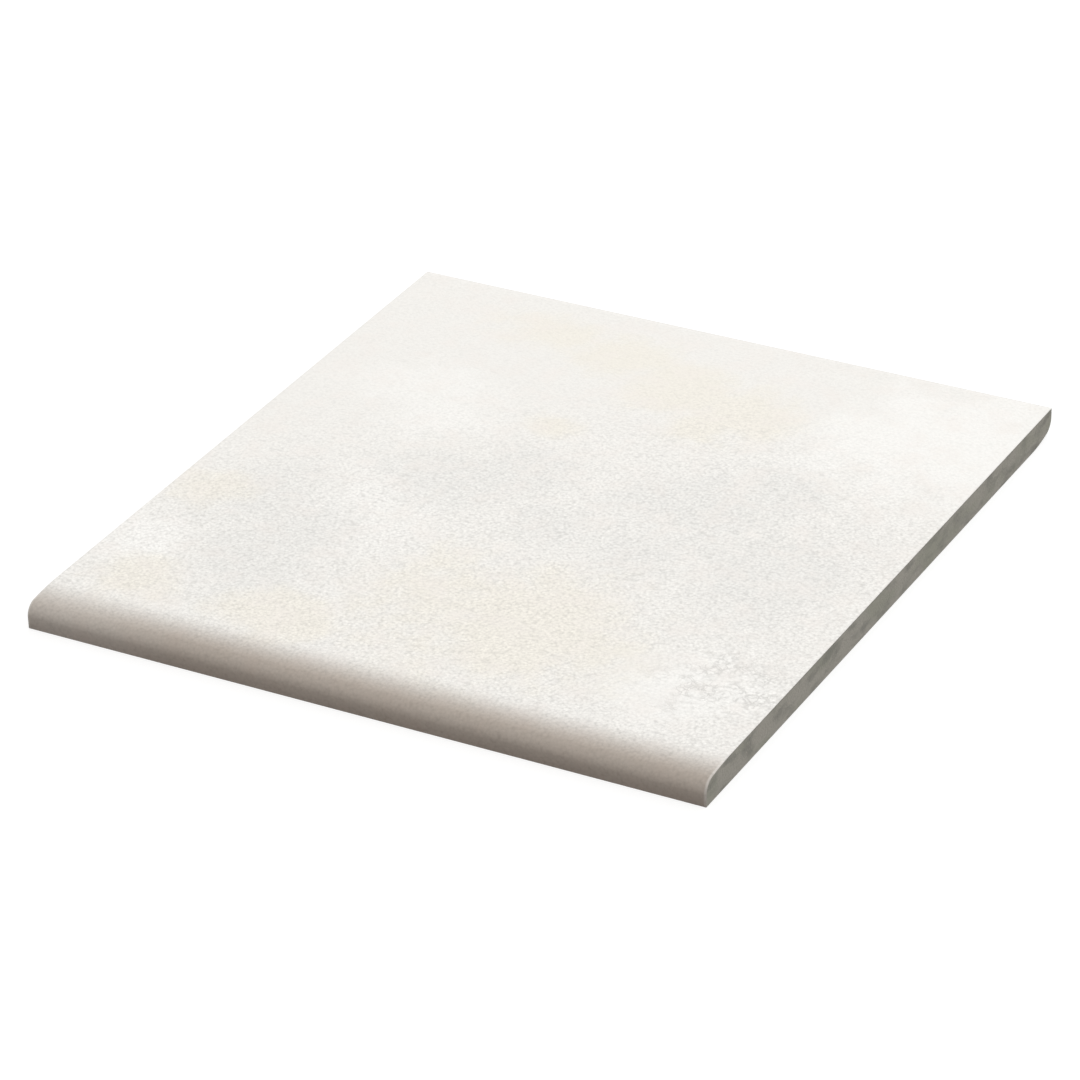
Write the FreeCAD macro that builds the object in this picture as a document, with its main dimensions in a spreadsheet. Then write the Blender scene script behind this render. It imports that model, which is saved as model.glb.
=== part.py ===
import FreeCAD, Part
from enum import IntEnum
import math
import os
import Sketcher

# Porcelain bullnose tile, one pressed and fired piece, in millimetres.
# X runs along the nose, Y from the nose at the front to the heel at the back, Z up.
# The tile lies on its bed: the underside is at Z 0, and the origin is below its middle.

# Driving dimensions
SIZES = {
    "tile_width": 300.0,            # along the nose
    "tile_going": 320.0,            # from the nose to the heel
    "tile_thickness": 12.0,
    "nose_run": 22.0,               # depth of the round along the top face
    "nose_lip": 5.0,                # flat height left under the round
    "nose_shoulder_angle": 8.0,     # slope where the easy stretch meets the tight one, in degrees
    "heel_run": 20.0,               # depth of the round along the underside
    "heel_lip": 4.0,                # flat height left above the round
    "heel_shoulder_angle": 14.0,    # the same slope at the heel
    "key_depth": 0.8,               # how deep the keying cells are pressed into the bed
    "key_pitch": 19.5,              # from one cell to the next
    "key_rib": 3.0,                 # foot of the rib between two cells
    "key_margin": 14.0,             # least plain border around the cells
    "key_draft": 20.0,              # lean of the cell walls, in degrees
}

SHEET = "Sizes"
TILE = "bullnose_tile"


class At(IntEnum):
    """How constraints name the ends of an edge, and the sketch's own X axis."""

    START = 1
    END = 2
    AXIS = -1


def make_sheet(doc):
    """Puts the driving dimensions in a sheet, one alias for each row."""
    sheet = doc.addObject("Spreadsheet::Sheet", SHEET)
    for row, (name, value) in enumerate(SIZES.items(), start=1):
        sheet.set(f"A{row}", name)
        sheet.set(f"B{row}", str(value))
        sheet.setAlias(f"B{row}", name)
    doc.recompute()
    return sheet


def size(name):
    """Names a sheet value as an expression does."""
    return f"{SHEET}.{name}"


def origin_feature(body, role):
    """Finds one of the body's own origin planes or axes."""
    return next(item for item in body.Origin.OriginFeatures if item.Role == role)


def new_sketch(body, name, plane_role):
    """Starts a sketch on one of the body's own origin planes."""
    sketch = body.newObject("Sketcher::SketchObject", name)
    sketch.AttachmentSupport = [(origin_feature(body, plane_role), "")]
    sketch.MapMode = "FlatFace"
    return sketch


def line(start, end):
    """Straight edge between two points of a sketch."""
    return Part.LineSegment(FreeCAD.Vector(*start, 0), FreeCAD.Vector(*end, 0))


def arc(centre, radius, first, last):
    """Arc from one angle to a greater one, both in radians."""
    circle = Part.Circle(FreeCAD.Vector(*centre, 0), FreeCAD.Vector(0, 0, 1), radius)
    return Part.ArcOfCircle(circle, first, last)


def add_size(sketch, name, kind, places, formula):
    """Adds a dimension at its drawn value, names it and binds it to the sheet."""
    if kind == "Radius":
        drawn = sketch.Geometry[places[0]].Radius
    else:
        step = sketch.getPoint(*places[2:]) - sketch.getPoint(*places[:2])
        drawn = step.x if kind == "DistanceX" else step.y
    index = sketch.addConstraint(Sketcher.Constraint(kind, *places, drawn))
    sketch.renameConstraint(index, name)
    sketch.setExpression(f"Constraints.{name}", formula)


class EndRound:
    """A tight arc off the lip and an easy arc that runs out level, tangent to each other."""

    def __init__(self, sheet, end):
        self.run = getattr(sheet, f"{end}_run")
        self.rise = sheet.tile_thickness - getattr(sheet, f"{end}_lip")
        self.turn = math.radians(getattr(sheet, f"{end}_shoulder_angle"))
        half_turn = math.tan(self.turn / 2)
        self.tight = (self.rise - self.run * half_turn) / (1 - half_turn)
        self.easy = self.tight + (self.run - self.tight) / math.sin(self.turn)


def tight_radius_formula(end):
    """Radius of the tight arc, from the rise, the run and the slope at the shoulder."""
    rise = f"({size('tile_thickness')} - {size(f'{end}_lip')})"
    half_turn = f"tan({size(f'{end}_shoulder_angle')} * 1 deg / 2)"
    return f"({rise} - {size(f'{end}_run')} * {half_turn}) / (1 - {half_turn})"


def draw_section(sketch, sheet):
    """Draws the side view: lip and round at the nose, flat tread, lip and round at the heel."""
    front = -sheet.tile_going / 2
    back = sheet.tile_going / 2
    top = sheet.tile_thickness
    nose = EndRound(sheet, "nose")
    heel = EndRound(sheet, "heel")
    quarter, half = math.pi / 2, math.pi

    nose_face = sketch.addGeometry(line((front, 0), (front, top - nose.rise)))
    nose_tight = sketch.addGeometry(
        arc((front + nose.tight, top - nose.rise), nose.tight, quarter + nose.turn, half))
    nose_easy = sketch.addGeometry(
        arc((front + nose.run, top - nose.easy), nose.easy, quarter, quarter + nose.turn))
    tread = sketch.addGeometry(line((front + nose.run, top), (back, top)))
    heel_face = sketch.addGeometry(line((back, top), (back, heel.rise)))
    heel_tight = sketch.addGeometry(
        arc((back - heel.tight, heel.rise), heel.tight, heel.turn - quarter, 0))
    heel_easy = sketch.addGeometry(
        arc((back - heel.run, heel.easy), heel.easy, -quarter, heel.turn - quarter))
    bed = sketch.addGeometry(line((back - heel.run, 0), (front, 0)))

    for first, second in (
        ((nose_face, At.END), (nose_tight, At.END)),
        ((nose_tight, At.START), (nose_easy, At.END)),
        ((nose_easy, At.START), (tread, At.START)),
        ((heel_face, At.END), (heel_tight, At.END)),
        ((heel_tight, At.START), (heel_easy, At.END)),
        ((heel_easy, At.START), (bed, At.START)),
    ):
        sketch.addConstraint(Sketcher.Constraint("Tangent", *first, *second))
    for edge, following in ((tread, heel_face), (bed, nose_face)):
        sketch.addConstraint(Sketcher.Constraint("Coincident", edge, At.END, following, At.START))
    for edge in (tread, bed):
        sketch.addConstraint(Sketcher.Constraint("Horizontal", edge))
    for edge in (nose_face, heel_face):
        sketch.addConstraint(Sketcher.Constraint("Vertical", edge))
    sketch.addConstraint(Sketcher.Constraint("PointOnObject", bed, At.END, At.AXIS))

    for name, kind, places, formula in (
        ("half_going", "DistanceX", (bed, At.END, At.AXIS, At.START), f"{size('tile_going')} / 2"),
        ("going", "DistanceX", (bed, At.END, tread, At.END), size("tile_going")),
        ("thickness", "DistanceY", (bed, At.END, tread, At.END), size("tile_thickness")),
        ("nose_run", "DistanceX", (nose_face, At.END, tread, At.START), size("nose_run")),
        ("nose_lip", "DistanceY", (nose_face, At.START, nose_face, At.END), size("nose_lip")),
        ("nose_tight", "Radius", (nose_tight,), tight_radius_formula("nose")),
        ("heel_run", "DistanceX", (bed, At.START, heel_face, At.END), size("heel_run")),
        ("heel_lip", "DistanceY", (heel_face, At.END, heel_face, At.START), size("heel_lip")),
        ("heel_tight", "Radius", (heel_tight,), tight_radius_formula("heel")),
    ):
        add_size(sketch, name, kind, places, formula)


def cell_count_formula(flat_length):
    """How many keying cells fit along a flat stretch of the bed."""
    free = f"({flat_length} - 2 * {size('key_margin')})"
    return f"floor(({free} + {size('key_rib')}) / {size('key_pitch')})"


def cell_border_formula(flat_length):
    """Plain border before the first cell, the same as the one after the last."""
    count = cell_count_formula(flat_length)
    covered = f"({count} * {size('key_pitch')} - {size('key_rib')})"
    return f"(({flat_length} - {covered}) / 2)"


def draw_cell(sketch, sheet, flat_width, flat_going):
    """Draws the mouth of the first keying cell, a square at the field's front left corner."""
    side = sheet.key_pitch - sheet.key_rib
    left = sheet.key_margin - sheet.tile_width / 2
    front = sheet.key_margin - sheet.tile_going / 2
    corners = ((left, front), (left + side, front), (left + side, front + side), (left, front + side))
    ends = corners[1:] + corners[:1]
    edges = [sketch.addGeometry(line(start, end)) for start, end in zip(corners, ends)]
    for edge, following in zip(edges, edges[1:] + edges[:1]):
        sketch.addConstraint(Sketcher.Constraint("Coincident", edge, At.END, following, At.START))
    for edge in edges[0::2]:
        sketch.addConstraint(Sketcher.Constraint("Horizontal", edge))
    for edge in edges[1::2]:
        sketch.addConstraint(Sketcher.Constraint("Vertical", edge))

    front_edge, right_edge = edges[:2]
    mouth = f"{size('key_pitch')} - {size('key_rib')}"
    across = f"{size('tile_width')} / 2 - {cell_border_formula(flat_width)}"
    along = f"{size('tile_going')} / 2 - {cell_border_formula(flat_going)}"
    for name, kind, places, formula in (
        ("mouth_across", "DistanceX", (front_edge, At.START, front_edge, At.END), mouth),
        ("mouth_along", "DistanceY", (right_edge, At.START, right_edge, At.END), mouth),
        ("first_across", "DistanceX", (front_edge, At.START, At.AXIS, At.START), across),
        ("first_along", "DistanceY", (front_edge, At.START, At.AXIS, At.START), along),
    ):
        add_size(sketch, name, kind, places, formula)


def make_slab(body, sheet):
    """Pads the section to the tile's width, as much to the left as to the right."""
    section = new_sketch(body, "section", "YZ_Plane")
    draw_section(section, sheet)
    slab = body.newObject("PartDesign::Pad", "slab")
    slab.Profile = section
    slab.Midplane = True
    slab.setExpression("Length", size("tile_width"))


def make_keying(body, sheet):
    """Presses the drafted keying cells into the flat part of the bed, in rows both ways."""
    flat_width = size("tile_width")
    flat_going = f"({size('tile_going')} - {size('heel_run')})"

    mouth = new_sketch(body, "cell_mouth", "XY_Plane")
    draw_cell(mouth, sheet, flat_width, flat_going)
    cell = body.newObject("PartDesign::Pocket", "keying_cell")
    cell.Profile = mouth
    cell.Reversed = True
    cell.setExpression("Length", size("key_depth"))
    cell.setExpression("TaperAngle", f"-{size('key_draft')} * 1 deg")

    body.Tip = make_grid(body, cell, flat_width, flat_going)


def make_grid(body, cell, flat_width, flat_going):
    """Repeats the cell in rows along X and in columns along Y, one pitch apart."""
    grid = body.newObject("PartDesign::MultiTransform", "keying_grid")
    grid.Originals = [cell]
    rows = []
    for name, role, flat_length in (
        ("keying_row", "X_Axis", flat_width),
        ("keying_column", "Y_Axis", flat_going),
    ):
        row = body.newObject("PartDesign::LinearPattern", name)
        row.Direction = (origin_feature(body, role), [""])
        row.Mode = "Spacing"
        row.setExpression("Offset", size("key_pitch"))
        row.setExpression("Occurrences", cell_count_formula(flat_length))
        rows.append(row)
    grid.Transformations = rows
    return grid


def make_tile(doc, sheet):
    """The whole tile: the slab with its two rounded ends, then the keying in its bed."""
    body = doc.addObject("PartDesign::Body", TILE)
    body.Label = TILE
    make_slab(body, sheet)
    doc.recompute()
    make_keying(body, sheet)
    doc.recompute()
    return body


def check(doc, body):
    """Stops the build if a feature failed or the tile isn't one sound solid."""
    for item in doc.Objects:
        if "Invalid" in item.State or "Error" in item.State:
            raise RuntimeError(f"{item.Name} did not build: {item.State}")
    if body.Shape.isNull() or not body.Shape.isValid() or len(body.Shape.Solids) != 1:
        raise RuntimeError(f"{body.Label} is not one sound solid")


def main():
    """Builds the tile and writes its solid."""
    doc = FreeCAD.newDocument("bullnose_tile_model")
    body = make_tile(doc, make_sheet(doc))
    check(doc, body)
    os.makedirs("parts", exist_ok=True)
    body.Shape.exportStep(f"parts/{body.Label}.step")


main()
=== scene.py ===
"""Porcelain bullnose tile: its pressed shape, its glaze, its bare body and a pale studio."""

import math

import bmesh
import bpy
from bpy.props import FloatProperty, FloatVectorProperty, PointerProperty
from bpy.types import Operator, Panel, PropertyGroup
from mathutils import Matrix, Vector, noise


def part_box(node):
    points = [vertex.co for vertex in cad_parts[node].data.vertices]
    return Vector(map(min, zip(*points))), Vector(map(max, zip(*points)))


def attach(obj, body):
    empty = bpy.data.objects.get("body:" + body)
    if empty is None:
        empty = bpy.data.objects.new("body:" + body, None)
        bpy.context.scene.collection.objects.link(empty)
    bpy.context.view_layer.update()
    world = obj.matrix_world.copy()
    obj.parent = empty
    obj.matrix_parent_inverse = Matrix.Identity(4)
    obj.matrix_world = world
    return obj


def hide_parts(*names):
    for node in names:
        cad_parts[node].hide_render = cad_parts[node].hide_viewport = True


bl_info = {
    "name": "Bullnose Tile",
    "version": (1, 0, 0),
    "blender": (4, 5, 0),
    "location": "3D View > Sidebar > Tile",
    "description": "Makes a porcelain bullnose tile with its glaze, its keyed bed and a studio",
    "category": "Add Mesh",
}

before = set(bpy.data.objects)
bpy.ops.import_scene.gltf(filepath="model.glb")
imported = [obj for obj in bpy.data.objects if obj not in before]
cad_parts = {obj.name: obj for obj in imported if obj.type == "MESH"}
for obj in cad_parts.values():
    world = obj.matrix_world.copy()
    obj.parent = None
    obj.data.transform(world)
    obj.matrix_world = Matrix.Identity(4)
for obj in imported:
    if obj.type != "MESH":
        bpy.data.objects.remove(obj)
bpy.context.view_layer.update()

TILE = "bullnose_tile"
MM = 0.001
LOW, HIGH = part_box(TILE)


def length(name, description, default):
    """A size in metres that a user can change."""
    return FloatProperty(
        name=name, description=description, default=default, unit="LENGTH", precision=5)


def angle(name, description, degrees):
    """An angle that a user can change."""
    return FloatProperty(
        name=name, description=description, default=math.radians(degrees), subtype="ANGLE")


def amount(name, description, default):
    """A share from 0 to 1 that a user can change."""
    return FloatProperty(name=name, description=description, default=default, min=0.0, max=1.0)


def number(name, description, default):
    """A plain number that a user can change."""
    return FloatProperty(name=name, description=description, default=default)


def colour(name, description, red, green, blue):
    """A linear colour that a user can change."""
    return FloatVectorProperty(
        name=name, description=description, default=(red, green, blue), subtype="COLOR", size=3)


class SectionSizes(PropertyGroup):
    """The side view of the tile."""

    nose_run: length("Nose run", "Depth of the nose's round along the tread", 22 * MM)
    nose_lip: length("Nose lip", "Flat height under the nose's round", 5 * MM)
    nose_shoulder: angle("Nose shoulder", "Slope where the nose's easy and tight arc meet", 8)
    heel_run: length("Heel run", "Depth of the heel's round along the bed", 20 * MM)
    heel_lip: length("Heel lip", "Flat height above the heel's round", 4 * MM)
    heel_shoulder: angle("Heel shoulder", "The same slope at the heel", 14)
    arris: length("Arris", "Radius that the kiln leaves on a sharp corner", 0.25 * MM)
    side_arris: length("Side arris", "Radius along both sides", 0.25 * MM)
    tread_step: length("Tread step", "From one row of points to the next on the tread", 2 * MM)


class KeyingSizes(PropertyGroup):
    """The cells pressed into the bed."""

    depth: length("Depth", "How deep the cells are", 0.8 * MM)
    pitch: length("Pitch", "From one cell to the next", 19.5 * MM)
    rib: length("Rib", "Foot of the rib between two cells", 3 * MM)
    margin: length("Margin", "Least plain border around the cells", 14 * MM)
    draft: angle("Draft", "Lean of the cell walls", 20)


class ReliefSizes(PropertyGroup):
    """The soft unevenness of the glazed face."""

    swell: length("Swell", "Height of the broad unevenness", 0.03 * MM)
    swell_length: length("Swell length", "Distance between two broad swells", 14 * MM)
    calm_border: length("Calm border", "Reach over which the relief fades at the arrises", 4 * MM)


class GlazeLook(PropertyGroup):
    """Colours and finish of the glazed face."""

    ground: colour("Ground", "Plain glaze", 0.88, 0.865, 0.835)
    cream: colour("Cream", "Warm stains", 0.88, 0.845, 0.77)
    grey: colour("Grey", "Cool clouds", 0.835, 0.825, 0.80)
    # Milk also gives the painted sheen at the back right.
    milk_and_sheen: colour("Milk", "Pale clouds", 0.93, 0.92, 0.895)
    blush: colour("Blush", "Small warm clouds all over", 0.89, 0.84, 0.80)
    # Nose and foot are painted shade: shares that darken the glaze over the nose's round and
    # towards its foot.
    nose: colour("Nose", "Share of the colour left over the nose", 0.535, 0.48, 0.437)
    foot: colour("Foot", "Share of the colour left at the nose's foot", 0.685, 0.655, 0.645)
    speck: colour("Speck", "Dark grains", 0.62, 0.61, 0.585)
    crack: colour("Crack", "Fine wrinkles", 0.50, 0.49, 0.47)
    grain_size: length("Grain size", "Distance between two grains", 1.35 * MM)
    grain_strength: amount("Grain strength", "How far the grains differ in tone", 0.72)
    grain_height: length("Grain height", "Height of the grains", 0.03 * MM)
    roughness: amount("Roughness", "Roughness of the glaze", 0.62)


class BodyLook(PropertyGroup):
    """Colours and finish of the unglazed body."""

    clay: colour("Clay", "Fired body", 0.455, 0.435, 0.387)
    olive: colour("Olive", "Warmer mottles", 0.405, 0.40, 0.34)
    shadow: colour("Shadow", "Darker mottles", 0.26, 0.255, 0.228)
    grit: colour("Grit", "Pale mineral grains", 0.55, 0.53, 0.49)
    line: colour("Line", "Dark line under the glaze's edge", 0.22, 0.215, 0.20)
    mottle_size: length("Mottle size", "Distance between two mottles", 6 * MM)
    grit_size: length("Grit size", "Distance between two grains", 0.9 * MM)
    roughness: amount("Roughness", "Roughness of the body", 0.82)


class StudioLook(PropertyGroup):
    """Camera, lamps and floor."""

    view_yaw: angle("View yaw", "Turn of the view from the tile's own way back", 29.50)
    view_pitch: angle("View pitch", "How far the camera looks down", 29.74)
    view_roll: angle("View roll", "Turn of the camera about its own axis", 2.03)
    view_distance: length("View distance", "From the camera to its aiming point", 1979.2 * MM)
    aim_forward: length("Aim forward", "How far that point lies before the middle", 10 * MM)
    aim_right: length("Aim right", "How far that point lies right of the view's axis", 1.15 * MM)
    aim_up: length("Aim up", "How far that point lies above the view's axis", 0.45 * MM)
    lens: number("Lens", "Focal length in millimetres", 162.75)
    key_power: number("Key power", "Power of the lamp behind the tile", 90.0)
    key_distance: length("Key distance", "How far behind the tile that lamp stands", 4.0)
    key_height: angle("Key height", "How high that lamp stands over the horizon", 16)
    key_turn: angle("Key turn", "How far to the right that lamp stands", 5)
    side_power: number("Side power", "Power of the lamp on the right", 0.3)
    sky: amount("Sky", "Strength of the light from all around", 0.88)
    sky_colour: colour("Sky colour", "Tint of the light from all around", 1.0, 0.99, 0.975)
    floor_bounce: colour("Floor bounce", "Floor as the tile sees it", 0.12, 0.115, 0.11)
    floor_look: colour("Floor look", "Floor as the camera sees it", 0.35, 0.35, 0.35)
    floor_glow: amount("Floor glow", "White added to the floor as the camera sees it", 0.74)


class TileSettings(PropertyGroup):
    """Everything that a user can change, in groups."""

    section: PointerProperty(type=SectionSizes)
    keying: PointerProperty(type=KeyingSizes)
    relief: PointerProperty(type=ReliefSizes)
    glaze: PointerProperty(type=GlazeLook)
    body: PointerProperty(type=BodyLook)
    studio: PointerProperty(type=StudioLook)


# Shape of the tile

GLAZED, BARE = 0, 1


# Segments of each stretch of the outline
ARRIS_STEPS = 4
NOSE_TIGHT_STEPS, NOSE_EASY_STEPS = 20, 14
HEEL_TIGHT_STEPS, HEEL_EASY_STEPS = 16, 10

# Segments of a cell's floor and of a rib, along the tile and across it
FLOOR_ALONG, RIB_ALONG = 2, 1
FLOOR_ACROSS, RIB_ACROSS = 8, 2
BORDER_PER_RIB = 4

# The glaze's fine unevenness: how much closer and how much lower than the broad one
FINE_CLOSER, FINE_SHARE = 2.7, 0.45

UP, DOWN = (0, 1), (0, -1)


class OutlinePoint:
    """A point of the side view, its outward direction and the finish after it."""

    def __init__(self, along, up, normal, finish):
        self.along = along
        self.up = up
        self.normal = normal
        self.finish = finish


def steps(first, last, count):
    """Evenly spaced values from the first to the last."""
    return [first + (last - first) * index / count for index in range(count + 1)]


def arc_points(centre, radius, first, last, count, finish):
    """Points on an arc of the outline, with their outward directions."""
    points = []
    for turn in steps(first, last, count):
        normal = (math.cos(turn), math.sin(turn))
        along = centre[0] + radius * normal[0]
        up = centre[1] + radius * normal[1]
        points.append(OutlinePoint(along, up, normal, finish))
    return points


def flat_points(places, up, normal, finish):
    """Points on a level stretch of the outline."""
    return [OutlinePoint(along, up, normal, finish) for along in places]


class EndRound:
    """A tight arc off the lip and an easy arc that runs out level, tangent to each other."""

    def __init__(self, run, rise, turn):
        half_turn = math.tan(turn / 2)
        self.tight = (rise - run * half_turn) / (1 - half_turn)
        self.easy = self.tight + (run - self.tight) / math.sin(turn)


def cell_count(flat, keying):
    """How many keying cells fit along a flat stretch."""
    return math.floor((flat - 2 * keying.margin + keying.rib) / keying.pitch)


def cell_lines(start, flat, keying, floor_steps, rib_steps):
    """Places of the grid lines along a flat stretch: borders, ribs, walls and floors."""
    count = cell_count(flat, keying)
    mouth = keying.pitch - keying.rib
    wall = keying.depth * math.tan(keying.draft)
    first = start + (flat - count * keying.pitch + keying.rib) / 2
    places = steps(start, first, BORDER_PER_RIB * rib_steps)[:-1]
    for index in range(count):
        left = first + index * keying.pitch
        right = left + mouth
        places += [left] + steps(left + wall, right - wall, floor_steps) + [right]
        if index < count - 1:
            places += steps(right, left + keying.pitch, rib_steps)[1:-1]
    return places + steps(right, start + flat, BORDER_PER_RIB * rib_steps)[1:]


def cell_depth(place, start, flat, keying):
    """Depth of the keying at a place: nothing on a rib and the whole of it in a cell."""
    count = cell_count(flat, keying)
    mouth = keying.pitch - keying.rib
    wall = keying.depth * math.tan(keying.draft)
    first = start + (flat - count * keying.pitch + keying.rib) / 2
    index = math.floor((place - first + keying.rib / 2) / keying.pitch)
    if not 0 <= index < count:
        return 0.0
    inside = mouth / 2 - abs(place - first - index * keying.pitch - mouth / 2)
    return keying.depth * min(1.0, max(0.0, inside / wall))


def section_outline(section, keying):
    """The side view: front lower arris, nose, tread, heel and then back along the bed."""
    front, back = LOW[1], HIGH[1]
    bottom, top = LOW[2], HIGH[2]
    arris = section.arris
    nose_rise = top - bottom - section.nose_lip
    heel_rise = top - bottom - section.heel_lip
    nose = EndRound(section.nose_run, nose_rise, section.nose_shoulder)
    heel = EndRound(section.heel_run, heel_rise, section.heel_shoulder)
    quarter, half = math.pi / 2, math.pi
    nose_turn = quarter + section.nose_shoulder
    heel_turn = section.heel_shoulder - quarter

    tread_front, tread_back = front + section.nose_run, back - arris
    rows = round((tread_back - tread_front) / section.tread_step)
    bed_front, bed_back = front + arris, back - section.heel_run
    bed_rows = cell_lines(front, bed_back - front, keying, FLOOR_ALONG, RIB_ALONG)
    bed_rows = [place for place in bed_rows if bed_front + arris < place < bed_back - arris]

    points = arc_points(
        (bed_front, bottom + arris), arris, half + quarter, half, ARRIS_STEPS, GLAZED)
    points += arc_points(
        (front + nose.tight, top - nose_rise), nose.tight,
        half, nose_turn, NOSE_TIGHT_STEPS, GLAZED)
    points += arc_points(
        (tread_front, top - nose.easy), nose.easy,
        nose_turn, quarter, NOSE_EASY_STEPS, GLAZED)[1:]
    points += flat_points(steps(tread_front, tread_back, rows)[1:-1], top, UP, GLAZED)
    points += arc_points((tread_back, top - arris), arris, quarter, 0, ARRIS_STEPS, GLAZED)
    points[-1].finish = BARE
    points += arc_points(
        (back - heel.tight, bottom + heel_rise), heel.tight,
        0, heel_turn, HEEL_TIGHT_STEPS, BARE)
    points += arc_points(
        (bed_back, bottom + heel.easy), heel.easy,
        heel_turn, -quarter, HEEL_EASY_STEPS, BARE)[1:]
    points += flat_points(reversed(bed_rows), bottom, DOWN, BARE)
    return points


def column_rings(section, keying):
    """Places of the rings of points across the tile, each with its inset from the outline."""
    left, right = LOW[0], HIGH[0]
    radius = section.side_arris
    middle = cell_lines(left, right - left, keying, FLOOR_ACROSS, RIB_ACROSS)
    middle = [place for place in middle if left + 2 * radius < place < right - 2 * radius]
    rounding = [
        (radius * (1 - math.sin(turn)), radius * (1 - math.cos(turn)))
        for turn in steps(math.pi / 2, 0, ARRIS_STEPS)
    ]
    rings = [(left + depth, inset) for depth, inset in rounding]
    rings += [(place, 0.0) for place in middle]
    rings += [(right - depth, inset) for depth, inset in reversed(rounding)]
    return rings


def smooth_share(value):
    """Rises smoothly from 0 to 1."""
    value = min(1.0, max(0.0, value))
    return value * value * (3 - 2 * value)


def swell(place, relief):
    """Height of the glazed face's soft unevenness, which fades out at the arrises."""
    broad = noise.noise(place / relief.swell_length)
    fine = noise.noise(place / relief.swell_length * FINE_CLOSER)
    edge = min(place.x - LOW[0], HIGH[0] - place.x, HIGH[1] - place.y)
    height = relief.swell * (broad + FINE_SHARE * fine)
    return height * smooth_share(edge / relief.calm_border)


def tile_point(across, inset, point, settings):
    """One point of the tile's skin, with the relief or the keying that it has there."""
    section, keying = settings.section, settings.keying
    along = point.along - inset * point.normal[0]
    up = point.up - inset * point.normal[1]
    place = Vector((across, along, up))
    if point.finish == GLAZED and point.normal[1] > 0:
        lift = swell(Vector((across, along, 0)), settings.relief) * point.normal[1]
        return place + Vector((0, point.normal[0], point.normal[1])) * lift
    if point.normal == DOWN:
        width, flat = HIGH[0] - LOW[0], HIGH[1] - LOW[1] - section.heel_run
        place.z += min(
            cell_depth(across, LOW[0], width, keying), cell_depth(along, LOW[1], flat, keying))
    return place


def tile_mesh(settings):
    """The whole skin as one closed mesh: rings across the tile and its two flat sides."""
    outline = section_outline(settings.section, settings.keying)
    rings = column_rings(settings.section, settings.keying)
    shape = bmesh.new()
    skin = [
        [shape.verts.new(tile_point(across, inset, point, settings)) for point in outline]
        for across, inset in rings
    ]
    count = len(outline)
    for ring, beside in zip(skin, skin[1:]):
        for index, point in enumerate(outline):
            after = (index + 1) % count
            face = shape.faces.new((ring[index], ring[after], beside[after], beside[index]))
            face.material_index = point.finish
            face.smooth = point.normal != DOWN
    for side in (reversed(skin[0]), skin[-1]):
        shape.faces.new(list(side)).material_index = BARE
    bmesh.ops.recalc_face_normals(shape, faces=shape.faces)
    mesh = bpy.data.meshes.new("pressed_tile")
    shape.to_mesh(mesh)
    shape.free()
    return mesh


# Materials

# Spacing of the nodes on their sheet
COLUMN_WIDTH, ROW_HEIGHT, ROWS = 180, 220, 3


class Graph:
    """Adds nodes to a node tree from left to right and joins their sockets."""

    def __init__(self, tree):
        self.tree = tree
        self.column = 0

    def add(self, kind, inputs=None, **settings):
        """Adds one node. An input is a value or another node's socket."""
        node = self.tree.nodes.new(kind)
        node.location = (COLUMN_WIDTH * self.column, -ROW_HEIGHT * (self.column % ROWS))
        self.column += 1
        for name, value in settings.items():
            setattr(node, name, value)
        for key, value in (inputs or {}).items():
            if isinstance(value, bpy.types.NodeSocket):
                self.tree.links.new(value, node.inputs[key])
            else:
                node.inputs[key].default_value = value
        return node

    def group(self, name, inputs):
        """Adds a node group that was built before, with its inputs, and gives its outputs."""
        tree = bpy.data.node_groups[name]
        return self.add("ShaderNodeGroup", inputs, node_tree=tree).outputs

    def math(self, operation, first, second=0.0, third=0.0):
        """One sum of numbers."""
        inputs = {0: first, 1: second, 2: third}
        return self.add("ShaderNodeMath", inputs, operation=operation).outputs[0]

    def vector(self, operation, first, second=(0, 0, 0)):
        """One sum of vectors."""
        inputs = {0: first, 1: second}
        return self.add("ShaderNodeVectorMath", inputs, operation=operation).outputs[0]

    def parts(self, vector):
        """The X, Y and Z of a vector."""
        return self.add("ShaderNodeSeparateXYZ", {0: vector}).outputs

    def noise(self, place, frequency, detail=2.0, roughness=0.5):
        """A noise value from 0 to 1."""
        inputs = {"Vector": place, "Scale": frequency, "Detail": detail, "Roughness": roughness}
        return self.add("ShaderNodeTexNoise", inputs).outputs["Fac"]

    def ease(self, value, low, high):
        """Rises smoothly from 0 at the low value to 1 at the high one."""
        inputs = {"Value": value, "From Min": low, "From Max": high}
        node = self.add("ShaderNodeMapRange", inputs, interpolation_type="SMOOTHSTEP")
        return node.outputs["Result"]

    def blend(self, share, first, second, kind="MIX"):
        """Mixes two colours, by the mix node's colour sockets 6 and 7 into its output 2."""
        inputs = {0: share, 6: first, 7: second}
        return self.add("ShaderNodeMix", inputs, data_type="RGBA", blend_type=kind).outputs[2]


def new_group(name, inputs, outputs):
    """Starts a shader node group with its named sockets."""
    tree = bpy.data.node_groups.new(name, "ShaderNodeTree")
    for title, kind, default in inputs:
        socket = tree.interface.new_socket(title, in_out="INPUT", socket_type=kind)
        socket.default_value = default
    for title, kind in outputs:
        tree.interface.new_socket(title, in_out="OUTPUT", socket_type=kind)
    graph = Graph(tree)
    start = graph.add("NodeGroupInput")
    return graph, start.outputs


def close_group(graph, results):
    """Ends a shader node group with its results."""
    graph.add("NodeGroupOutput", results)
    return graph.tree


# What the fired grain is made of
FINE_GRAIN_SHARE, PEBBLE_SHARE = 0.68, 0.32


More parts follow.
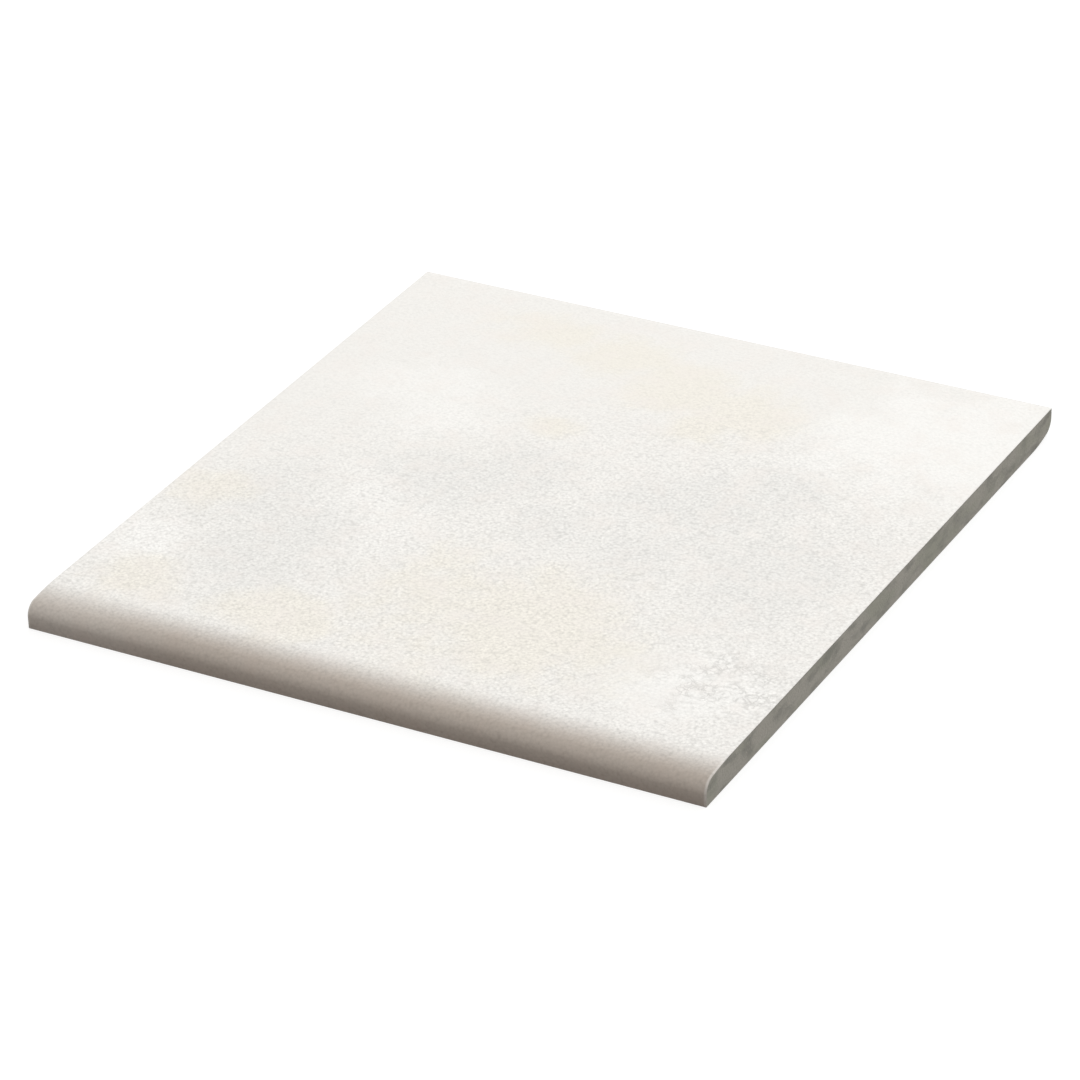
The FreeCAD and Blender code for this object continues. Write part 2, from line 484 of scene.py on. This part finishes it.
def grain_group():
    """Fired grain: small rounded pebbles between fine grains, shared by glaze and body."""
    graph, given = new_group(
        "fired_grain",
        (("Place", "NodeSocketVector", (0, 0, 0)), ("Frequency", "NodeSocketFloat", 600.0)),
        (
            ("Grain", "NodeSocketFloat"),
            ("Specks", "NodeSocketFloat"),
            ("Height", "NodeSocketFloat"),
        ),
    )
    place, frequency = given["Place"], given["Frequency"]
    fine = graph.noise(place, frequency, 3.0, 0.7)
    cells = graph.add("ShaderNodeTexVoronoi", {"Vector": place, "Scale": frequency})
    pebbles = graph.math("SUBTRACT", 1.0, cells.outputs["Distance"])
    pebbles = graph.math("MULTIPLY", pebbles, PEBBLE_SHARE)
    grain = graph.math("MULTIPLY_ADD", fine, FINE_GRAIN_SHARE, pebbles)
    specks = graph.ease(grain, 0.46, 0.34)
    height = graph.ease(grain, 0.30, 0.75)
    return close_group(graph, {"Grain": grain, "Specks": specks, "Height": height})


def patch_group():
    """One soft cloud at a place of its own, oval and ragged at its border."""
    graph, given = new_group(
        "cloud_patch",
        (
            ("Place", "NodeSocketVector", (0, 0, 0)),
            ("Ragged", "NodeSocketFloat", 0.0),
            ("Centre", "NodeSocketVector", (0, 0, 0)),
            ("Reach", "NodeSocketVector", (1, 1, 1)),
            ("Strength", "NodeSocketFloat", 1.0),
        ),
        (("Mask", "NodeSocketFloat"),),
    )
    offset = graph.vector("SUBTRACT", given["Place"], given["Centre"])
    scaled = graph.vector("DIVIDE", offset, given["Reach"])
    spread = graph.add("ShaderNodeVectorMath", {0: scaled}, operation="LENGTH")
    torn = graph.math("ADD", spread.outputs["Value"], given["Ragged"])
    mask = graph.math("MULTIPLY", graph.ease(torn, 1.25, 0.35), given["Strength"])
    return close_group(graph, {"Mask": mask})


class Patch:
    """A cloud of the glaze: its place from the middle and its reach, in mm, and its strength."""

    def __init__(self, across, along, reach_across, reach_along, strength=1.0):
        self.centre = (across * MM, along * MM, 0)
        self.reach = (reach_across * MM, reach_along * MM, 1)
        self.strength = strength


# Clouds of the glaze, placed from the photograph
CREAM_PATCHES = (
    Patch(32, -90, 66, 56),
    Patch(-70, 134, 34, 20),
    Patch(-36, 126, 30, 20),
    Patch(2, 108, 30, 26),
    Patch(38, 100, 28, 26),
    Patch(24, 82, 20, 20),
    Patch(-123, -126, 22, 20),
    Patch(-56, -126, 26, 20),
    Patch(-130, -46, 18, 18),
    Patch(-30, 57, 14, 13),
)
GREY_PATCHES = (
    Patch(-112, -42, 26, 36),
    Patch(-84, -88, 30, 44),
    Patch(-48, 4, 36, 26),
    Patch(-20, 22, 28, 20),
    Patch(60, 22, 44, 40),
    Patch(98, -16, 46, 50),
    Patch(50, -24, 34, 26),
    Patch(80, 44, 24, 22),
    Patch(14, -20, 28, 20),
)
MILK_AND_SHEEN_PATCHES = (
    Patch(-98, 64, 32, 26, 0.7),
    Patch(-80, 46, 30, 30, 0.7),
    Patch(-64, -24, 28, 34, 0.5),
    Patch(-48, -52, 20, 22, 0.4),
    Patch(-136, -100, 18, 22),
    # Painted sheen: this large pale cloud at the back right stands for the light from behind
    # glancing off the glaze.
    Patch(116, 110, 56, 60),
    Patch(118, -106, 38, 36),
)
CRACKLE_PATCH = Patch(128, -97, 32, 28)
CALM_PATCH = Patch(108, -105, 38, 30)


def patches_mask(graph, place, ragged, patches):
    """Joins several clouds into one mask."""
    total = 0.0
    for patch in patches:
        cloud = graph.group("cloud_patch", {
            "Place": place, "Ragged": ragged,
            "Centre": patch.centre, "Reach": patch.reach, "Strength": patch.strength,
        })
        total = graph.math("MAXIMUM", cloud["Mask"], total)
    return total


def empty_graph(owner):
    """The emptied node tree of a material or a world."""
    owner.use_nodes = True
    owner.node_tree.nodes.clear()
    return Graph(owner.node_tree)


def new_material(name):
    """Starts a material with the place on the tile and the way that the surface faces there."""
    material = bpy.data.materials.new(name)
    graph = empty_graph(material)
    there = graph.add("ShaderNodeTexCoord").outputs
    return material, graph, there["Object"], there["Normal"]


def close_material(graph, tone, roughness, height, relief, mirror):
    """Ends a material with its bump and its shader, which holds the constants itself."""
    bump = graph.add(
        "ShaderNodeBump", {"Height": height, "Distance": relief, "Strength": 1.0})
    shader = graph.add("ShaderNodeBsdfPrincipled", {
        "Base Color": tone,
        "Roughness": roughness,
        "Normal": bump.outputs["Normal"],
        "IOR": 1.5,
        "Specular IOR Level": mirror,
    })
    graph.add("ShaderNodeOutputMaterial", {"Surface": shader.outputs["BSDF"]})


WHITE = (1, 1, 1, 1)


def rgba(value):
    """A property's colour as a socket takes it."""
    return (*value, 1.0)


def fired_grain(graph, place, size):
    """The fired grain at a size of its own."""
    return graph.group("fired_grain", {"Place": place, "Frequency": 1 / size})


# Nets of wrinkles: distance between two lines and width of a line as a share of it
WRINKLE_NETS = ((7.0 * MM, 0.10), (4.2 * MM, 0.12))
WRINKLE_BEND = 9 * MM
FAINT_WRINKLES = 0.12


def wrinkles(graph, place, crackled, lively):
    """Fine wrinkles of the glaze: faint all over, deep and dense in the one crackled patch."""
    bend = graph.add("ShaderNodeTexNoise", {"Vector": place, "Scale": 160.0, "Detail": 3.0})
    shift = {0: bend.outputs["Color"], "Scale": WRINKLE_BEND}
    shift = graph.add("ShaderNodeVectorMath", shift, operation="SCALE").outputs[0]
    bent = graph.vector("ADD", place, shift)
    veins = 0.0
    for size, width in WRINKLE_NETS:
        inputs = {"Vector": bent, "Scale": 1 / size}
        net = graph.add("ShaderNodeTexVoronoi", inputs, feature="DISTANCE_TO_EDGE")
        veins = graph.math("MAXIMUM", graph.ease(net.outputs["Distance"], width, 0.0), veins)
    broken = graph.ease(graph.noise(place, 130.0, 2.0), 0.40, 0.58)
    deep = graph.math("MULTIPLY_ADD", lively, FAINT_WRINKLES, crackled)
    return graph.math("MULTIPLY", graph.math("MULTIPLY", veins, broken), deep)


# Step by which a fold is compared with the place behind it: it sets which side of a fold gets
# painted light and which painted shade
FOLD_SHADE_STEP = (-0.5 * MM, 0.9 * MM, 0.0)
FOLD_NOISE = (115.0, 3.0, 0.6)


def painted_fold_shade(graph, place, crackled):
    """Painted light and shade on the folds of the crackled patch: paler before each fold and
    darker behind it.
    """
    level = graph.noise(place, *FOLD_NOISE)
    behind = graph.noise(graph.vector("ADD", place, FOLD_SHADE_STEP), *FOLD_NOISE)
    return graph.math("MULTIPLY", graph.math("SUBTRACT", level, behind), crackled)


def small_clouds(graph, place):
    """Small faint clouds all over, so that no stretch of the glaze is quite plain."""
    elsewhere = graph.vector("ADD", place, (0.7, 2.3, 0.1))
    faint = graph.noise(elsewhere, 70.0, 3.0, 0.55)
    return graph.math("MULTIPLY", graph.ease(faint, 0.45, 0.70), 0.35)


# Grain at the calm back and what the lively front adds, and the same for nose and tread
CALM_BACK, LIVELY_FRONT = 0.28, 0.74
CALM_NOSE, LIVELY_TREAD = 0.55, 0.45


def liveliness(graph, place):
    """Strength of the grain: strong on most of the tread, calm at the back and on the nose."""
    parts = graph.parts(place)
    left = graph.math("MULTIPLY_ADD", parts["X"], -0.6, parts["Y"])
    left = graph.ease(left, 140 * MM, 5 * MM)
    right = graph.math("MULTIPLY_ADD", parts["X"], 0.3, parts["Y"])
    right = graph.ease(right, 150 * MM, 60 * MM)
    forward = graph.math("MINIMUM", left, right)
    forward = graph.math("MULTIPLY_ADD", forward, LIVELY_FRONT, CALM_BACK)
    tread = graph.ease(parts["Y"], LOW[1], LOW[1] + 22 * MM)
    tread = graph.math("MULTIPLY_ADD", tread, LIVELY_TREAD, CALM_NOSE)
    return graph.math("MULTIPLY", forward, tread)


def thin_edges(graph, place):
    """Where the glaze draws back from the arris: at the back and, less, at the left."""
    parts = graph.parts(place)
    back = graph.ease(parts["Y"], HIGH[1] - 1.1 * MM, HIGH[1] - 0.2 * MM)
    back = graph.math("MULTIPLY", back, 0.35)
    left = graph.ease(parts["X"], LOW[0] + 0.8 * MM, LOW[0] + 0.1 * MM)
    left = graph.math("MULTIPLY", left, 0.2)
    return graph.math("MAXIMUM", back, left)


# How much less painted shade the nose gets: towards its left end, and at both its rims
LESS_SHADE_LEFT, LESS_SHADE_RIM = 0.2, 0.42


def nose_painted_shade(graph, place):
    """Painted shade: the glaze darkened over the nose's round, and once more towards its foot."""
    parts = graph.parts(place)
    over = graph.ease(parts["Y"], LOW[1] + 21 * MM, LOW[1] + 3 * MM)
    left = graph.ease(parts["X"], LOW[0] + 80 * MM, LOW[0] + 10 * MM)
    from_middle = graph.math("ABSOLUTE", parts["X"])
    rim = graph.ease(from_middle, HIGH[0] - 1.3 * MM, HIGH[0] - 0.5 * MM)
    left = graph.math("MULTIPLY", left, LESS_SHADE_LEFT)
    rim = graph.math("MULTIPLY", rim, LESS_SHADE_RIM)
    less_shade = graph.math("MAXIMUM", left, rim)
    over = graph.math("MULTIPLY", over, graph.math("SUBTRACT", 1.0, less_shade))
    # Painted shade towards the nose's foot: darker all the way down to the floor.
    foot = graph.ease(parts["Z"], HIGH[2], LOW[2] - 1 * MM)
    return over, foot


# Strength of each of the glaze's marks
GREY_SHARE, CREAM_SHARE = 0.9, 0.85
SPECK_SHARE, CRACK_SHARE, FOLD_SHADE_SHARE = 0.12, 0.42, 0.6
CALM_SHARE = 0.5
GRAIN_MIDDLE = 0.52
CRACK_DEPTH = 1.5


def clouds(graph, place, ragged, look):
    """The glaze's ground with its milky, grey and cream clouds, and the painted sheen at the back
    right.
    """
    cream = patches_mask(graph, place, ragged, CREAM_PATCHES)
    grey = patches_mask(graph, place, ragged, GREY_PATCHES)
    milk_and_sheen = patches_mask(graph, place, ragged, MILK_AND_SHEEN_PATCHES)
    tone = graph.blend(milk_and_sheen, rgba(look.ground), rgba(look.milk_and_sheen))
    tone = graph.blend(graph.math("MULTIPLY", grey, GREY_SHARE), tone, rgba(look.grey))
    return graph.blend(graph.math("MULTIPLY", cream, CREAM_SHARE), tone, rgba(look.cream))


def glaze_material(look):
    """Satin glaze: cream, grey and milky clouds, fine grain and one crackled patch, plus painted
    sheen, painted shade on the nose and painted fold shading.
    """
    material, graph, place, _ = new_material("satin_glaze")
    broad = graph.noise(place, 18.0, 4.0, 0.55)
    torn = graph.noise(place, 60.0, 3.0, 0.6)
    ragged = graph.math("MULTIPLY_ADD", graph.math("ADD", broad, torn), 1.5, -1.5)
    grain = fired_grain(graph, place, look.grain_size)
    crackled = patches_mask(graph, place, ragged, (CRACKLE_PATCH,))
    calm = patches_mask(graph, place, ragged, (CALM_PATCH,))
    stirred = graph.math("MULTIPLY_ADD", calm, -CALM_SHARE, 1.0)
    lively = graph.math("MULTIPLY", liveliness(graph, place), stirred)

    tone = clouds(graph, place, ragged, look)
    depth = graph.math("MULTIPLY", lively, look.grain_strength)
    off_middle = graph.math("SUBTRACT", grain["Grain"], GRAIN_MIDDLE)
    shade = graph.math("MULTIPLY_ADD", off_middle, depth, 1.0)
    tone = graph.blend(1.0, tone, shade, "MULTIPLY")
    tone = graph.blend(small_clouds(graph, place), tone, rgba(look.blush))
    specks = graph.math("MULTIPLY", grain["Specks"], SPECK_SHARE)
    specks = graph.math("MULTIPLY", specks, lively)
    tone = graph.blend(specks, tone, rgba(look.speck))
    # Painted shade: the glaze darkened over the nose's round and towards its foot.
    for share, tint in zip(nose_painted_shade(graph, place), (look.nose, look.foot)):
        tone = graph.blend(share, tone, rgba(tint), "MULTIPLY")
    tone = graph.blend(thin_edges(graph, place), tone, rgba(look.speck))
    crack = wrinkles(graph, place, crackled, lively)
    tone = graph.blend(graph.math("MULTIPLY", crack, CRACK_SHARE), tone, rgba(look.crack))
    # Painted light and shade on the crackled patch's folds.
    fold_shade = graph.math("MULTIPLY_ADD", painted_fold_shade(graph, place, crackled), FOLD_SHADE_SHARE, 1.0)
    tone = graph.blend(1.0, tone, fold_shade, "MULTIPLY")

    cut = graph.math("MULTIPLY", crack, CRACK_DEPTH)
    height = graph.math("SUBTRACT", grain["Height"], cut)
    gloss = graph.math("SUBTRACT", broad, 0.5)
    gloss = graph.math("MULTIPLY_ADD", gloss, 0.25, look.roughness)
    gloss = graph.math("MULTIPLY_ADD", grain["Specks"], 0.15, gloss)
    close_material(graph, tone, gloss, height, look.grain_height, 0.4)
    return material


# Strength of each of the body's marks. The mottles are fainter where the body faces down.
MOTTLE_ON_BED, MOTTLE_MORE_ON_SIDES = 0.15, 0.55
GRIT_SHARE, PIT_SHARE, LINE_SHARE = 0.35, 0.3, 0.6
PRESS_DRAW = (0.6, 0.4, 1.0)
BODY_RELIEF = 0.06 * MM


def body_material(look):
    """Unglazed fired body: olive and darker mottles, calmer on the bed, and pale grit."""
    material, graph, place, facing = new_material("fired_body")
    drawn = graph.vector("MULTIPLY", place, PRESS_DRAW)
    mottle = graph.noise(drawn, 1 / look.mottle_size, 3.0, 0.55)
    elsewhere = graph.vector("ADD", drawn, (3.1, 1.9, 0.7))
    broad = graph.noise(elsewhere, 0.6 / look.mottle_size, 3.0, 0.5)
    grain = fired_grain(graph, place, look.grit_size)

    tone = graph.blend(graph.ease(broad, 0.45, 0.65), rgba(look.clay), rgba(look.olive))
    upright = graph.ease(graph.parts(facing)["Z"], -0.9, -0.2)
    upright = graph.math("MULTIPLY_ADD", upright, MOTTLE_MORE_ON_SIDES, MOTTLE_ON_BED)
    dark = graph.math("MULTIPLY", graph.ease(mottle, 0.46, 0.68), upright)
    tone = graph.blend(dark, tone, rgba(look.shadow))
    pale = graph.math("MULTIPLY", graph.ease(grain["Grain"], 0.58, 0.70), GRIT_SHARE)
    tone = graph.blend(pale, tone, rgba(look.grit))
    pits = graph.math("MULTIPLY", grain["Specks"], PIT_SHARE)
    tone = graph.blend(pits, tone, rgba(look.shadow))
    edge = graph.ease(graph.parts(place)["Z"], HIGH[2] - 0.9 * MM, HIGH[2] - 0.3 * MM)
    tone = graph.blend(graph.math("MULTIPLY", edge, LINE_SHARE), tone, rgba(look.line))

    height = graph.math("MULTIPLY_ADD", mottle, 1.5, grain["Height"])
    dry = graph.math("MULTIPLY_ADD", grain["Grain"], 0.2, look.roughness - 0.1)
    close_material(graph, tone, dry, height, BODY_RELIEF, 0.3)
    return material


def seen_share(graph):
    """1 where the surroundings are seen, also in a reflection, and 0 where they only light."""
    path = graph.add("ShaderNodeLightPath").outputs
    seen = graph.math("MAXIMUM", path["Is Camera Ray"], path["Is Glossy Ray"])
    return graph.math("MAXIMUM", seen, path["Is Transmission Ray"])


def floor_material(studio):
    """Pale floor: white to the camera and in reflections, darker where it lights the tile."""
    material = bpy.data.materials.new("studio_floor")
    graph = empty_graph(material)
    seen = seen_share(graph)
    tone = graph.blend(seen, rgba(studio.floor_bounce), rgba(studio.floor_look))
    diffuse = graph.add("ShaderNodeBsdfDiffuse", {"Color": tone}).outputs[0]
    glow = graph.math("MULTIPLY", seen, studio.floor_glow)
    light = graph.add("ShaderNodeEmission", {"Strength": glow}).outputs[0]
    both = graph.add("ShaderNodeAddShader", {0: diffuse, 1: light}).outputs[0]
    graph.add("ShaderNodeOutputMaterial", {"Surface": both})
    return material


def studio_world(studio):
    """Even light from all around, which is plain white where it is seen."""
    world = bpy.data.worlds.new("studio_light")
    graph = empty_graph(world)
    seen = seen_share(graph)
    sky = {"Color": rgba(studio.sky_colour), "Strength": studio.sky}
    white = {"Color": WHITE, "Strength": 1.0}
    around, behind = (
        graph.add("ShaderNodeBackground", inputs).outputs[0] for inputs in (sky, white))
    both = graph.add("ShaderNodeMixShader", {0: seen, 1: around, 2: behind}).outputs[0]
    graph.add("ShaderNodeOutputWorld", {"Surface": both})
    return world


# Studio

FLOOR_SIZE = 16
SENSOR_WIDTH = 36
CLIP_NEAR, CLIP_FAR = 0.05, 20

# Size and tint of the lamps, and place of the one on the right
KEY_SIZE, KEY_TINT = (1.8, 1.1), (0.96, 0.985, 1)
SIDE_SIZE, SIDE_TINT, SIDE_PLACE = (0.8, 0.5), (0.98, 1, 1), (1.6, 0.1, 0.35)


def aim(origin, target):
    """Turn of a lamp at the origin that looks at the target."""
    return (Vector(target) - Vector(origin)).to_track_quat("-Z", "Y").to_euler()


def add_lamp(name, origin, target, size, power, tint):
    """One large soft lamp. It isn't mirrored in the glaze, which would burn out."""
    data = bpy.data.lights.new(name, "AREA")
    data.shape = "RECTANGLE"
    data.size, data.size_y = size
    data.energy = power
    data.color = tint
    lamp = bpy.data.objects.new(name, data)
    lamp.location = origin
    lamp.rotation_euler = aim(origin, target)
    lamp.visible_camera = False
    lamp.visible_glossy = False
    bpy.context.collection.objects.link(lamp)


def view_axes(studio):
    """The camera's right, down and forward directions."""
    yaw, pitch = -studio.view_yaw, studio.view_pitch
    level_share = math.cos(pitch)
    forward = Vector((
        math.sin(yaw) * level_share, math.cos(yaw) * level_share, -math.sin(pitch)))
    level = Vector((math.cos(yaw), -math.sin(yaw), 0))
    down = forward.cross(level)
    roll = studio.view_roll
    right = math.cos(roll) * level + math.sin(roll) * down
    return right, math.cos(roll) * down - math.sin(roll) * level, forward


class TILE_OT_press(Operator):
    """Makes the tile's skin with its rounds, relief and keyed bed, in its two finishes"""

    bl_idname = "tile.press"
    bl_label = "Press the tile"

    def execute(self, context):
        settings = context.scene.tile_settings
        grain_group()
        patch_group()
        mesh = tile_mesh(settings)
        mesh.materials.append(glaze_material(settings.glaze))
        mesh.materials.append(body_material(settings.body))
        tile = bpy.data.objects.new("tile_skin", mesh)
        context.collection.objects.link(tile)
        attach(tile, "root")
        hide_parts(TILE)
        return {"FINISHED"}


class TILE_OT_stage(Operator):
    """Lays the pale floor and sets the lamps and the light from all around"""

    bl_idname = "tile.stage"
    bl_label = "Set the stage"

    def execute(self, context):
        studio = context.scene.tile_settings.studio
        context.scene.view_settings.view_transform = "Standard"
        bpy.ops.mesh.primitive_plane_add(size=FLOOR_SIZE, location=(0, 0, LOW[2]))
        floor = context.object
        floor.name = "floor"
        floor.data.materials.append(floor_material(studio))

        middle = (0, 0, HIGH[2])
        reach = studio.key_distance * math.cos(studio.key_height)
        behind = (
            reach * math.sin(studio.key_turn),
            reach * math.cos(studio.key_turn),
            studio.key_distance * math.sin(studio.key_height),
        )
        add_lamp("key_lamp", behind, middle, KEY_SIZE, studio.key_power, KEY_TINT)
        add_lamp("side_lamp", SIDE_PLACE, middle, SIDE_SIZE, studio.side_power, SIDE_TINT)
        context.scene.world = studio_world(studio)
        return {"FINISHED"}


class TILE_OT_camera(Operator):
    """Sets the camera where it shows the tile as in the photograph"""

    bl_idname = "tile.camera"
    bl_label = "Set the camera"

    def execute(self, context):
        studio = context.scene.tile_settings.studio
        right, down, forward = view_axes(studio)
        aimed = Vector((0, -studio.aim_forward, LOW[2]))
        origin = aimed - right * studio.aim_right + down * studio.aim_up
        origin -= forward * studio.view_distance
        turn = Matrix((right, -down, -forward)).transposed()
        data = bpy.data.cameras.new("view")
        data.sensor_width = SENSOR_WIDTH
        data.lens = studio.lens
        data.clip_start, data.clip_end = CLIP_NEAR, CLIP_FAR
        camera = bpy.data.objects.new("view", data)
        camera.matrix_world = Matrix.Translation(origin) @ turn.to_4x4()
        context.collection.objects.link(camera)
        context.scene.camera = camera
        return {"FINISHED"}


class TILE_PT_panel(Panel):
    """Lists the tile's sizes, its finishes and the studio"""

    bl_idname = "TILE_PT_panel"
    bl_label = "Bullnose tile"
    bl_space_type = "VIEW_3D"
    bl_region_type = "UI"
    bl_category = "Tile"

    def draw(self, context):
        settings = context.scene.tile_settings
        for title in ("section", "keying", "relief", "glaze", "body", "studio"):
            group = getattr(settings, title)
            box = self.layout.box()
            box.label(text=title.capitalize())
            for name in group.__annotations__:
                box.prop(group, name)
        for operator in (TILE_OT_press, TILE_OT_stage, TILE_OT_camera):
            self.layout.operator(operator.bl_idname)


CLASSES = (
    SectionSizes,
    KeyingSizes,
    ReliefSizes,
    GlazeLook,
    BodyLook,
    StudioLook,
    TileSettings,
    TILE_OT_press,
    TILE_OT_stage,
    TILE_OT_camera,
    TILE_PT_panel,
)


def register():
    """Registers the classes and hangs the settings on the scene."""
    for item in CLASSES:
        bpy.utils.register_class(item)
    bpy.types.Scene.tile_settings = PointerProperty(type=TileSettings)


def unregister():
    """Takes the settings and the classes away again."""
    del bpy.types.Scene.tile_settings
    for item in reversed(CLASSES):
        bpy.utils.unregister_class(item)


def main():
    """Builds the tile and its studio."""
    register()
    bpy.ops.tile.press()
    bpy.ops.tile.stage()
    bpy.ops.tile.camera()


if __name__ == "__main__":
    main()
